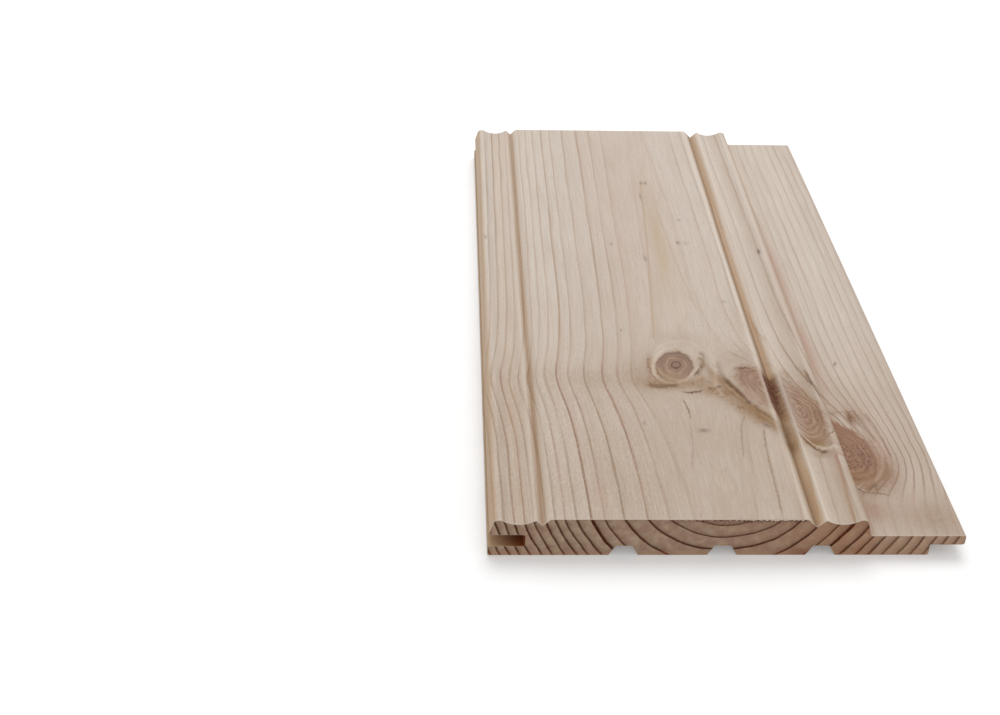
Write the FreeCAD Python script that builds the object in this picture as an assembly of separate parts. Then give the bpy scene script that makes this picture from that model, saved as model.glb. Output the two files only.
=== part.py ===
"""Tongue and groove cladding board in planed softwood, one solid, in millimetres.

The board is one moulded section carried straight between two square-cut ends. Its show face is up:
a wide flat panel between two V-grooves, a coved bead outside each V-groove, and on the tongue side a
sunk floor that stays in sight as a shadow gap between two laid boards. The groove is in the other edge,
between an upper lip, whose nose carries the first bead, and a shorter-faced lower lip. The back has
relief grooves that let the board stay flat. +X runs from the groove edge to the tongue edge, +Y along the
grain, +Z up from the back. The origin is on the back plane, in the middle of the board's width and length.
"""
import FreeCAD
import Part
import math
import os

NODE = "profiled_board"

# Size over all, tongue included
THICKNESS = 14.0
OVERALL_WIDTH = 145.0
LENGTH = 275.0

# Joint: the tongue, and the play that the groove leaves round it once two boards are laid
TONGUE_LENGTH = 10.5
TONGUE_THICKNESS = 3.6
TONGUE_UNDERSIDE = 4.0
JOINT_PLAY = 0.3
TIP_CLEARANCE = 1.7
BACK_JOINT_GAP = 1.0

# Moulded face: both edges of the raised part are alike, and its two V-grooves differ in depth
SHADOW_GAP = 19.5
BEVEL_ANGLE = 18.0
BEAD_DROP = 0.35
RIDGE_WIDTH = 2.2
COVE_WIDTH = 10.3
COVE_DEPTH = 1.6
GROOVE_SIDE_V_DEPTH = 2.3
TONGUE_SIDE_V_DEPTH = 3.0
V_HALF_ANGLE = 45.0

# Relief grooves in the back, placed from the lower lip's edge
RELIEF_COUNT = 3
RELIEF_FIRST_CENTRE = 41.2
RELIEF_SPACING = 30.0
RELIEF_WIDTH = 9.0
RELIEF_DEPTH = 3.6
RELIEF_SIDE_ANGLE = 60.0

# Rounded corners of the section
NOSE_RADIUS = 1.0
SHOULDER_RADIUS = 1.5
RIDGE_RADIUS = 0.6
ARRIS_RADIUS = 0.3
GROOVE_CORNER_RADIUS = 0.7
TONGUE_TIP_RADIUS = 0.8
BACK_EDGE_RADIUS = 0.5

# Levels above the back plane
TONGUE_TOP = TONGUE_UNDERSIDE + TONGUE_THICKNESS
GROOVE_FLOOR = TONGUE_UNDERSIDE - JOINT_PLAY
GROOVE_CEILING = TONGUE_TOP + JOINT_PLAY
BEAD_TOP = THICKNESS - BEAD_DROP

# Places across the section, measured from the lower lip's edge
TONGUE_SHOULDER = OVERALL_WIDTH - TONGUE_LENGTH
COVER_WIDTH = TONGUE_SHOULDER + BACK_JOINT_GAP
GROOVE_DEPTH = TONGUE_LENGTH - BACK_JOINT_GAP + TIP_CLEARANCE
BEVEL_FOOT = COVER_WIDTH - SHADOW_GAP
BEVEL_SLOPE = math.tan(math.radians(BEVEL_ANGLE))
V_SLOPE = math.tan(math.radians(V_HALF_ANGLE))
RELIEF_SIDE_RUN = RELIEF_DEPTH / math.tan(math.radians(RELIEF_SIDE_ANGLE))


def groove_side_bead():
    """Returns the places of the bead over the groove: ridge start, cove start, cove end."""
    ridge_start = (BEAD_TOP - GROOVE_CEILING) * BEVEL_SLOPE
    cove_start = ridge_start + RIDGE_WIDTH
    return ridge_start, cove_start, cove_start + COVE_WIDTH


def tongue_side_bead():
    """Returns the places of the bead beside the sunk floor: cove start, cove end, ridge end."""
    ridge_end = BEVEL_FOOT - (BEAD_TOP - TONGUE_TOP) * BEVEL_SLOPE
    cove_end = ridge_end - RIDGE_WIDTH
    return cove_end - COVE_WIDTH, cove_end, ridge_end


def v_groove(bead_edge, depth, towards_panel):
    """Returns the bottom place and the panel arris place of a V-groove that starts at a bead's edge.

    bead_edge is where the V meets the bead's top, and towards_panel is +1 or -1 along X.
    """
    bottom = bead_edge + towards_panel * (depth - BEAD_DROP) * V_SLOPE
    return bottom, bottom + towards_panel * depth * V_SLOPE


class Section:
    """The closed outline of the board's section, drawn corner by corner from the lower lip."""

    def __init__(self, x, z):
        self.start = self.point(x, z)
        self.here = self.start
        self.edges = []
        self.roundings = []

    @staticmethod
    def point(x, z):
        """Turns a place from the lower lip's edge and a level into a point at the board's near end."""
        return FreeCAD.Vector(x - OVERALL_WIDTH / 2, -LENGTH / 2, z)

    def line_to(self, x, z, radius=0.0):
        """Draws a straight stretch to a corner, which is rounded later when it has a radius."""
        corner = self.point(x, z)
        self.edges.append(Part.LineSegment(self.here, corner).toShape())
        self.here = corner
        self.round_here(radius)

    def cove_to(self, x, z, depth, radius=0.0):
        """Draws a hollow arc to a corner, sunk by depth below the straight line to it."""
        corner = self.point(x, z)
        lowest = (self.here + corner) * 0.5 - FreeCAD.Vector(0, 0, depth)
        self.edges.append(Part.Arc(self.here, lowest, corner).toShape())
        self.here = corner
        self.round_here(radius)

    def round_here(self, radius):
        """Notes that the corner just reached is rounded."""
        if radius > 0:
            self.roundings.append((self.here, radius))

    def closed_face(self):
        """Closes the outline back to its start and returns it as a face."""
        self.edges.append(Part.LineSegment(self.here, self.start).toShape())
        return Part.Face(Part.Wire(self.edges))


def draw_groove_edge(section):
    """Draws the lower lip's edge, the groove and the upper lip's nose, up to the first ridge."""
    section.line_to(0, GROOVE_FLOOR, BACK_EDGE_RADIUS)
    section.line_to(GROOVE_DEPTH, GROOVE_FLOOR, GROOVE_CORNER_RADIUS)
    section.line_to(GROOVE_DEPTH, GROOVE_CEILING, GROOVE_CORNER_RADIUS)
    section.line_to(0, GROOVE_CEILING, NOSE_RADIUS)


def draw_face(section):
    """Draws the moulded face from the first ridge to the foot of the far bevel."""
    ridge_start, cove_start, cove_end = groove_side_bead()
    bottom, panel_start = v_groove(cove_end, GROOVE_SIDE_V_DEPTH, 1)
    section.line_to(ridge_start, BEAD_TOP, SHOULDER_RADIUS)
    section.line_to(cove_start, BEAD_TOP, RIDGE_RADIUS)
    section.cove_to(cove_end, BEAD_TOP, COVE_DEPTH, ARRIS_RADIUS)
    section.line_to(bottom, THICKNESS - GROOVE_SIDE_V_DEPTH)
    section.line_to(panel_start, THICKNESS, ARRIS_RADIUS)

    cove_start, cove_end, ridge_end = tongue_side_bead()
    bottom, panel_end = v_groove(cove_start, TONGUE_SIDE_V_DEPTH, -1)
    section.line_to(panel_end, THICKNESS, ARRIS_RADIUS)
    section.line_to(bottom, THICKNESS - TONGUE_SIDE_V_DEPTH)
    section.line_to(cove_start, BEAD_TOP, ARRIS_RADIUS)
    section.cove_to(cove_end, BEAD_TOP, COVE_DEPTH, RIDGE_RADIUS)
    section.line_to(ridge_end, BEAD_TOP, SHOULDER_RADIUS)
    section.line_to(BEVEL_FOOT, TONGUE_TOP)


def draw_tongue_edge(section):
    """Draws the sunk floor, the tongue and the shoulder under it."""
    section.line_to(OVERALL_WIDTH, TONGUE_TOP, TONGUE_TIP_RADIUS)
    section.line_to(OVERALL_WIDTH, TONGUE_UNDERSIDE, TONGUE_TIP_RADIUS)
    section.line_to(TONGUE_SHOULDER, TONGUE_UNDERSIDE, BACK_EDGE_RADIUS)
    section.line_to(TONGUE_SHOULDER, 0, BACK_EDGE_RADIUS)


def draw_back(section):
    """Draws the back from the tongue side to the lower lip, with its relief grooves."""
    half = RELIEF_WIDTH / 2
    for number in reversed(range(RELIEF_COUNT)):
        centre = RELIEF_FIRST_CENTRE + number * RELIEF_SPACING
        section.line_to(centre + half, 0)
        section.line_to(centre + half - RELIEF_SIDE_RUN, RELIEF_DEPTH)
        section.line_to(centre - half + RELIEF_SIDE_RUN, RELIEF_DEPTH)
        section.line_to(centre - half, 0)


def long_edge_at(solid, corner):
    """Returns the solid's lengthwise edge that starts at a corner of the section."""
    middle = corner + FreeCAD.Vector(0, LENGTH / 2, 0)
    return min(solid.Edges, key=lambda edge: (edge.CenterOfMass - middle).Length)


def make_board():
    """Returns the board: the section carried along the grain, with its long corners rounded."""
    section = Section(0, 0)
    section.round_here(BACK_EDGE_RADIUS)
    draw_groove_edge(section)
    draw_face(section)
    draw_tongue_edge(section)
    draw_back(section)
    solid = section.closed_face().extrude(FreeCAD.Vector(0, LENGTH, 0))
    for radius in sorted({radius for _, radius in section.roundings}, reverse=True):
        corners = [corner for corner, own in section.roundings if own == radius]
        solid = solid.makeFillet(radius, [long_edge_at(solid, corner) for corner in corners])
    return solid.Solids[0]


def main():
    """Builds the board and writes its STEP file."""
    board = make_board()
    if not board.isValid():
        raise ValueError("the board's solid is not valid")
    os.makedirs("parts", exist_ok=True)
    board.exportStep(os.path.join("parts", NODE + ".step"))
    box = board.BoundBox
    print("size %.3f x %.3f x %.3f mm" % (box.XLength, box.YLength, box.ZLength))
    print("volume %.1f mm3, %d faces" % (board.Volume, len(board.Faces)))
    print("laid cover width %.2f mm" % COVER_WIDTH)


main()
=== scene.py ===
"""Dresses a planed pine tongue and groove board that lies face up on a pale floor.

The board is one moulded section carried along the grain. Its wood is a solid pattern: growth rings round
a pith that runs above the board, pushed aside by two branches, so the sawn ends, the moulded face and the
back all show cuts through the same rings. Places in the wood are in millimetres: across from the lower
lip's edge, along from the front end, and up from the back.
"""
import logging
import math
from collections.abc import Callable
from dataclasses import dataclass, field
from enum import Enum

import bpy
import numpy as np
from mathutils import Matrix, Vector


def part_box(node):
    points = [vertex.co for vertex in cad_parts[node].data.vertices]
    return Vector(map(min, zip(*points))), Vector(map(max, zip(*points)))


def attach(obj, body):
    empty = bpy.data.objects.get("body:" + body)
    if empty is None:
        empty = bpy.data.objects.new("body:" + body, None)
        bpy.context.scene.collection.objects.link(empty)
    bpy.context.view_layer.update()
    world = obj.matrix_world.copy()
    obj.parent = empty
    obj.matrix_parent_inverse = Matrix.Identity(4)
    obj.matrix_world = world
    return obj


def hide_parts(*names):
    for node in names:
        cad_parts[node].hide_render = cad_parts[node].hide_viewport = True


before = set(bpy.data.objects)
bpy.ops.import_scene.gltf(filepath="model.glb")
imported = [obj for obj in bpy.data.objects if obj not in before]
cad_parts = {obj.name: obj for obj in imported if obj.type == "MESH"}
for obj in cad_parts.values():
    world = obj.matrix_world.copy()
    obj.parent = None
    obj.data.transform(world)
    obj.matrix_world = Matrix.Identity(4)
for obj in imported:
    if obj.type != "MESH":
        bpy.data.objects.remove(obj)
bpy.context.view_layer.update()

LOG = logging.getLogger("board")

NODE = "profiled_board"
BODY = "root"
MM = 0.001

Colour = tuple[float, float, float, float]
Points = tuple[tuple[float, float], ...]
Socket = bpy.types.NodeSocket


def srgb(red: int, green: int, blue: int) -> Colour:
    """Turns a colour as seen on a screen, 0 to 255, into the linear values that shaders use."""
    seen = np.array([red, green, blue]) / 255.0
    linear = np.where(seen <= 0.04045, seen / 12.92, ((seen + 0.055) / 1.055) ** 2.4)
    return (*linear.tolist(), 1.0)


def operator(name: str, swapped: bool = False) -> "Callable[[Term, Term | float], Term]":
    """Makes an operator for varying numbers.

    Args:
        name: The Math node's operation.
        swapped: Whether the other number comes first.

    Returns:
        The operator, which adds the node and gives its result.
    """
    def apply(own: "Term", other: "Term | float") -> "Term":
        """Adds the node."""
        return own.sheet.math(name, *((other, own) if swapped else (own, other)))
    return apply


class Term:
    """A number that varies over a surface: arithmetic on it adds Math nodes to its sheet."""

    def __init__(self, sheet: "Sheet", socket: Socket) -> None:
        """Keeps the socket that carries the number."""
        self.sheet = sheet
        self.socket = socket

    __add__ = operator("ADD")
    __radd__ = operator("ADD", True)
    __sub__ = operator("SUBTRACT")
    __rsub__ = operator("SUBTRACT", True)
    __mul__ = operator("MULTIPLY")
    __rmul__ = operator("MULTIPLY", True)
    __truediv__ = operator("DIVIDE")
    __rtruediv__ = operator("DIVIDE", True)


class Sheet:
    """A node sheet, with the few calls that every finish is written in."""

    def __init__(self, tree: bpy.types.NodeTree) -> None:
        """Takes an empty tree."""
        self.tree = tree

    @classmethod
    def of(cls, material: bpy.types.Material) -> "Sheet":
        """Empties a material's tree and takes it as the sheet."""
        material.use_nodes = True
        material.node_tree.nodes.clear()
        return cls(material.node_tree)

    def inset(self, name: str, build: Callable[..., dict], **given: "Term | Socket") -> dict:
        """Works something out on a small sheet of its own, which is one node on this sheet.

        Args:
            name: The small sheet's name.
            build: Called with the given values as the small sheet has them, and returns its results by name.
            given: Numbers and colours that it reads, by name.

        Returns:
            The results by name, as numbers and colours of this sheet.
        """
        tree = bpy.data.node_groups.new(name, "ShaderNodeTree")
        for key, value in given.items():
            tree.interface.new_socket(key, in_out="INPUT", socket_type=self._kind(value))
        inner = Sheet(tree)
        reads = inner.add("NodeGroupInput").outputs
        results = build(**{key: inner.like(value, reads[key]) for key, value in given.items()})
        for key, value in results.items():
            tree.interface.new_socket(key, in_out="OUTPUT", socket_type=self._kind(value))
        inner.add("NodeGroupOutput", inputs=results)
        node = self.add("ShaderNodeGroup", {"node_tree": tree}, given)
        return {key: self.like(value, node.outputs[key]) for key, value in results.items()}

    @staticmethod
    def _kind(value: "Term | Socket") -> str:
        """Names the socket type that carries a value."""
        return "NodeSocketFloat" if isinstance(value, Term) else "NodeSocketColor"

    def like(self, value: "Term | Socket", socket: Socket) -> "Term | Socket":
        """Reads a socket of this sheet as the same kind of thing as another value."""
        return Term(self, socket) if isinstance(value, Term) else socket

    def add(self, kind: str, settings: dict | None = None, inputs: dict | None = None) -> bpy.types.Node:
        """Adds one node.

        Args:
            kind: The node's type, such as ShaderNodeMath.
            settings: Properties set before the sockets, with points for a curve.
            inputs: Values or links for the input sockets, by name or number.

        Returns:
            The node.
        """
        node = self.tree.nodes.new(kind)
        for name, value in (settings or {}).items():
            if name == "points":
                self._set_points(node, value)
            else:
                setattr(node, name, value)
        for name, value in (inputs or {}).items():
            source = value.socket if isinstance(value, Term) else value
            if isinstance(source, Socket):
                self.tree.links.new(source, node.inputs[name])
            else:
                node.inputs[name].default_value = source
        return node

    @staticmethod
    def _set_points(node: bpy.types.Node, points: list[tuple[float, float]]) -> None:
        """Gives a float curve its points, joined by straight lines.

        Args:
            node: The curve's node.
            points: Place and height of each point, both from 0 to 1.
        """
        curve = node.mapping.curves[0]
        while len(curve.points) < len(points):
            curve.points.new(0.5, 0.5)
        for point, (place, height) in zip(curve.points, points):
            point.location = (place, height)
            point.handle_type = "VECTOR"
        node.mapping.update()

    def math(self, operation: str, *values: "Term | float") -> Term:
        """Adds a Math node with its one to three values, and gives its result."""
        node = self.add("ShaderNodeMath", {"operation": operation}, dict(enumerate(values)))
        return Term(self, node.outputs[0])

    def fade(self, value: Term) -> Term:
        """Falls from 1 as a number grows from 0: e to the minus the number."""
        return self.math("POWER", 1.0 / math.e, value)

    def largest(self, first: Term, second: "Term | float") -> Term:
        """The larger of two numbers."""
        return self.math("MAXIMUM", first, second)

    def rise(self, value: Term, low: float, high: float) -> Term:
        """Goes smoothly from 0 at low to 1 at high, or down when low is above high.

        Args:
            value: The number that is read.
            low: Where the result is 0.
            high: Where the result is 1.

        Returns:
            The smooth step.
        """
        ends = (low, high, 0.0, 1.0) if low < high else (high, low, 1.0, 0.0)
        names = ("From Min", "From Max", "To Min", "To Max")
        node = self.add("ShaderNodeMapRange", {"interpolation_type": "SMOOTHSTEP"},
                        {"Value": value, **dict(zip(names, ends))})
        return Term(self, node.outputs[0])

    def bell(self, value: Term, centre: float, width: float) -> Term:
        """A bell of height 1: e to the minus square of the distance from the centre over the width."""
        offset = (value - centre) * (1.0 / width)
        return self.fade(offset * offset)

    def length(self, first: Term, second: Term) -> Term:
        """Square root of the sum of two squares."""
        return self.math("SQRT", first * first + second * second)

    def curve(self, value: Term, points: Points) -> Term:
        """Reads a line that runs straight from point to point.

        Args:
            value: The place along the line.
            points: Place and height of each point, in rising places.

        Returns:
            The height at that place.
        """
        places, heights = np.array(points).T
        low, span = heights.min(), max(np.ptp(heights), 1e-6)
        scaled = [((p - places[0]) / np.ptp(places), (h - low) / span) for p, h in points]
        scale = float(1.0 / np.ptp(places))
        share = self.math("MULTIPLY_ADD", value, scale, -float(places[0]) * scale)
        share.socket.node.use_clamp = True
        node = self.add("ShaderNodeFloatCurve", {"points": scaled}, {"Value": share})
        return self.math("MULTIPLY_ADD", Term(self, node.outputs[0]), float(span), float(low))

    def vector(self, x: "Term | float", y: "Term | float", z: "Term | float") -> Socket:
        """Joins three numbers into a vector."""
        return self.add("ShaderNodeCombineXYZ", inputs={"X": x, "Y": y, "Z": z}).outputs[0]

    def noise(self, place: Socket, detail: float = 2.0, roughness: float = 0.5) -> Term:
        """Soft noise from -0.5 to 0.5, with cells one unit of the place across."""
        node = self.add("ShaderNodeTexNoise", {"noise_dimensions": "3D"},
                        {"Vector": place, "Scale": 1.0, "Detail": detail, "Roughness": roughness})
        return Term(self, node.outputs["Fac"]) - 0.5

    def specks(self, place: Socket, size: float) -> Term:
        """Marks small round specks: 1 within size of the random points of a unit grid, 0 outside."""
        node = self.add("ShaderNodeTexVoronoi", {"feature": "F1"}, {"Vector": place, "Scale": 1.0})
        return self.rise(Term(self, node.outputs["Distance"]), size, size * 0.5)

    def mix(self, share: "Term | float", first: "Socket | Colour", second: "Socket | Colour") -> Socket:
        """Mixes two colours.

        Args:
            share: How much of the second colour shows, 0 to 1.
            first: The colour underneath.
            second: The colour on top.

        Returns:
            The mixed colour.
        """
        settings = {"data_type": "RGBA", "blend_type": "MIX", "clamp_factor": True}
        return self.add("ShaderNodeMix", settings, {0: share, 6: first, 7: second}).outputs[2]

    def finish(self, colour: Socket, roughness: float, shine: float, relief: Term, depth: float) -> None:
        """Ends the sheet in a matt surface with a fine relief.

        Args:
            colour: The base colour.
            roughness: The surface's roughness.
            shine: How much light its skin throws back, where 0.5 is a plain varnish.
            relief: Height of the fine relief, about 0 to 1.
            depth: Depth of that relief, in metres.
        """
        bump = self.add("ShaderNodeBump", inputs={"Strength": 1.0, "Distance": depth, "Height": relief})
        surface = self.add("ShaderNodeBsdfPrincipled", inputs={
            "Base Color": colour, "Roughness": roughness, "Normal": bump.outputs[0]})
        surface.inputs["Specular IOR Level"].default_value = shine
        self.add("ShaderNodeOutputMaterial", inputs={"Surface": surface.outputs[0]})


@dataclass(frozen=True)
class WoodPlace:
    """Where a point is in the wood, in millimetres."""

    across: Term
    along: Term
    up: Term

    @classmethod
    def on(cls, sheet: Sheet, low: Vector) -> "WoodPlace":
        """Reads the place from the object's own coordinates.

        Args:
            sheet: The sheet that reads it.
            low: The board's lowest corner, in metres.

        Returns:
            The place, from the lower lip's edge, the front end and the back.
        """
        where = sheet.add("ShaderNodeTexCoord").outputs["Object"]
        axes = sheet.add("ShaderNodeSeparateXYZ", inputs={"Vector": where}).outputs
        return cls(*(Term(sheet, axis) * (1.0 / MM) - corner / MM for axis, corner in zip(axes, low)))

    @property
    def sheet(self) -> Sheet:
        """The sheet that the place is read on."""
        return self.across.sheet

    def after(self, value: "Term | Socket") -> "WoodPlace":
        """Gives the same place, to a hundredth of a micrometre, but known only once a value is.

        The renderer works a sheet out level by level and can hold few numbers at a time, so a long sheet is
        made to wait, part after part.

        Args:
            value: The number or colour that is waited for.

        Returns:
            The place.
        """
        waiting = (self.sheet.math("MULTIPLY_ADD", value, 1e-5, own) for own in (self.across, self.along))
        return WoodPlace(*waiting, self.up)

    def noise(self, cells: tuple[float, float, float], detail: float = 2.0, roughness: float = 0.5,
              lift: float = 0.0) -> Term:
        """Soft noise from -0.5 to 0.5.

        Args:
            cells: How many cells a millimetre holds across, along and up.
            detail: How many finer layers it has.
            roughness: How strong they are.
            lift: How many cells up it is read, for a second noise unlike the first.

        Returns:
            The noise.
        """
        across, along, up = (own * count for own, count in zip(vars(self).values(), cells))
        where = self.sheet.vector(across, along, up + lift if lift else up)
        return self.sheet.noise(where, detail, roughness)


@dataclass(frozen=True)
class BranchCut:
    """What a cut through a branch shows at a place.

    Attributes:
        edge: Distance from its edge in millimetres, above 0 outside it.
        share: Share of the way from its centre to its edge.
        ring_share: Share of the way from its heart to its edge.
        u: Share of its half width that the place lies to the right of its centre.
        v: Share of its half length that the place lies ahead of its centre.
        push: How far it pushes the stem's rings away here.
        aside: The part of that push that goes to the right.
        streaks: An uneven noise round 0 that runs along its own rings.
    """

    edge: Term
    share: Term
    ring_share: Term
    u: Term
    v: Term
    push: Term
    aside: Term
    streaks: Term


@dataclass(frozen=True)
class Branch:
    """A branch in the wood, as an oval that shifts, grows and turns from level to level of the moulding.

    Attributes:
        cuts: For places across the board in rising order: that place, the oval's centre across and along,
            half its width, half its length in millimetres, and its lean in degrees towards the left.
        drift: How far the centre moves across and along for each millimetre up.
        heart: Where its own rings start, as shares of half its width and half its length.
        push: How far it pushes the stem's rings aside at its edge, in millimetres.
        reach: How quickly that push fades, in millimetres.
        wander: How far its outline and rings stray from the oval, in millimetres.
        face: Height of the board's face, where the cuts are given.
        back_zone: The place across whose cut is taken everywhere below the tongue's top.
        foot: Where the push ends below it, by place across.
        foot_fade: Over what length the push grows from there, by place across.
    """

    cuts: tuple[tuple[float, ...], ...]
    drift: tuple[float, float] = (0.0, 0.0)
    heart: tuple[float, float] = (0.0, 0.0)
    push: float = 6.0
    reach: float = 2.6
    wander: float = 1.8
    face: float = 14.0
    back_zone: float = 125.0
    foot: Points = ((0, -50), (145, -50))
    foot_fade: Points = ((0, 10), (145, 10))

    def column(self, zone: Term, number: int) -> "Term | float":
        """Reads one column of the cuts.

        Args:
            zone: The place across.
            number: The column.

        Returns:
            Its value there, or the single value where there is one cut.
        """
        if len(self.cuts) == 1:
            return self.cuts[0][number]
        return zone.sheet.curve(zone, tuple((cut[0], cut[number]) for cut in self.cuts))

    def measure(self, place: WoodPlace) -> BranchCut:
        """Measures a place against the oval.

        With u and v the distances from the centre along the oval's short and long axes, the share is the
        square root of (u over the half width) squared plus (v over the half length) squared. The ring share
        is the same with the centre moved towards the heart by one minus the share.

        Args:
            place: The place in the wood.

        Returns:
            The branch's cut.
        """
        sheet = place.sheet
        zone = sheet.largest(place.across, sheet.rise(place.up, 7.2, 6.8) * self.back_zone)
        above = place.up - self.face
        cells = (0.30, 0.22, 0.2)
        stray_across = place.noise(cells, 3.0, 0.55) * self.wander
        stray_along = place.noise(cells, 3.0, 0.55, 40.0) * (self.wander * 1.4)
        across = place.across - self.column(zone, 1) - above * self.drift[0] + stray_across
        along = place.along - self.column(zone, 2) - above * self.drift[1] + stray_along
        width, length, lean = (self.column(zone, number) for number in (3, 4, 5))
        turn = sheet.math("MULTIPLY", lean, math.pi / 180)
        cos, sin = sheet.math("COSINE", turn), sheet.math("SINE", turn)
        u = (across * cos + along * sin) / width
        v = (along * cos - across * sin) / length
        share = sheet.length(u, v)
        inner = sheet.largest(1.0 - share, 0.0)
        ring_u = u - inner * self.heart[0]
        ring_v = v - inner * self.heart[1]
        ring_share = sheet.length(ring_u, ring_v)
        edge = (share - 1.0) * width
        foot = sheet.curve(place.across, self.foot)
        fade = sheet.curve(place.across, self.foot_fade)
        grown = sheet.rise((place.along - foot + 3.0) / fade, 0.0, 1.0)
        push = sheet.fade(sheet.largest(edge, 0.0) * (1.0 / self.reach)) * self.push * grown
        aside = push * (u * cos - v * sin) / sheet.largest(share, 0.4)
        round_u, round_v = (way / sheet.largest(ring_share, 0.05) * 1.1 for way in (ring_u, ring_v))
        streaks = sheet.noise(sheet.vector(ring_share * width * 1.1, round_u, round_v), 3.0, 0.6)
        return BranchCut(edge, share, ring_share, u, v, push, aside, streaks)


@dataclass(frozen=True)
class RingCut:
    """What a cut through the growth rings shows at a place.

    Attributes:
        part: Share of its ring that the place has reached, from the ring's inner edge.
        left: What is left to the ring's outer edge, in millimetres.
        tone: How dark the ring's late wood is.
        hue: A noise round 0 that differs from ring to ring and changes slowly along it.
        radius: The undisturbed distance from the pith of the place's fibres.
        flow: The place across that the same fibres had before the rings bulged.
    """

    part: Term
    left: Term
    tone: Term
    hue: Term
    radius: Term
    flow: Term


@dataclass(frozen=True)
class GrowthRings:
    """The stem's growth rings.

    Attributes:
        pith_across: Places of the pith across the board, by place along it.
        pith_up: Heights of the pith over the back, by place along the board.
        radii: Outer radius of each ring from the pith, in millimetres.
        tones: How dark each ring's late wood is, from the pith out.
        swell: How far the rings bulge on the groove side at the whorl of branches.
        whorl: Where the whorl is along the board.
        whorl_reach: Half of the length that the bulge takes.
        wide_growth: How much wider the rings are on the tongue side, by place along the board.
    """

    pith_across: Points = ((0, 71.5), (60, 71.8), (155, 72.4), (275, 72.5))
    pith_up: Points = (
        (0, 31.5), (35, 29.5), (80, 26.0), (110, 24.2), (155, 23.9), (200, 24.5), (245, 25.6), (275, 26.0))
    radii: tuple[float, ...] = (6.5, 12.8, 20.0, 24.6, 29.6, 35.6, 40.8, 44.6, 48.5, 51.6, 54.4, 57.4,
                                60.6, 63.5, 66.6, 69.3, 72.0, 74.6, 77.2, 79.8, 82.4)
    tones: tuple[float, ...] = (0.2, 0.12, 0.28, 0.36, 0.62, 0.46, 0.38, 0.85, 0.42, 0.36, 0.4, 0.5,
                                0.42, 0.55, 0.6, 0.45, 0.5, 0.4, 0.5, 0.4, 0.4)
    swell: float = 4.2
    whorl: float = 75.0
    whorl_reach: float = 18.0
    wide_growth: Points = ((60, 0.15), (110, 0.09))

    def cut(self, place: WoodPlace, push: Term) -> RingCut:
        """Finds the ring that a place is in.

        The radius is the distance from the pith, less the branches' push, the bulge at the whorl, which is
        swell over one plus the square of the distance from the whorl over its reach, and the wider growth
        on the tongue side.

        Args:
            place: The place in the wood.
            push: How far the branches push the rings out here.

        Returns:
            The cut through the rings.
        """
        sheet = place.sheet
        beside = place.across - sheet.curve(place.along, self.pith_across)
        above = place.up - sheet.curve(place.along, self.pith_up)
        radius = sheet.length(beside, above)
        offset = (place.along - self.whorl) * (1.0 / self.whorl_reach)
        bulge = self.swell / (offset * offset + 1.0) * sheet.rise(beside, -2.0, -16.0)
        wide = sheet.largest(radius - 52.0, -9.0) * sheet.rise(beside, 12.0, 34.0)
        wide = wide * sheet.curve(place.along, self.wide_growth)
        wobble = place.noise((0.11, 0.03, 0.11), 3.0) * 1.1
        flow = place.across - (bulge + wide) * beside / radius
        radius = radius - bulge - wide - push + wobble
        edges = (0.0,) + self.radii
        age = sheet.curve(radius, tuple((edge, number) for number, edge in enumerate(edges)))
        ring = sheet.math("FLOOR", age)
        width = sheet.curve(ring, tuple(enumerate(np.diff(edges).tolist())))
        tone = sheet.curve(ring, tuple(enumerate(self.tones)))
        part = sheet.math("FRACT", age)
        shade = sheet.noise(sheet.vector(ring * 5.31, place.along * 0.014, place.up * 0.03))
        hue = sheet.noise(sheet.vector(ring * 3.17 + 20.0, place.along * 0.010, 5.0))
        return RingCut(part, (1.0 - part) * width, tone * (shade * 2.0 + 1.0), hue, radius, flow)


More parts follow.
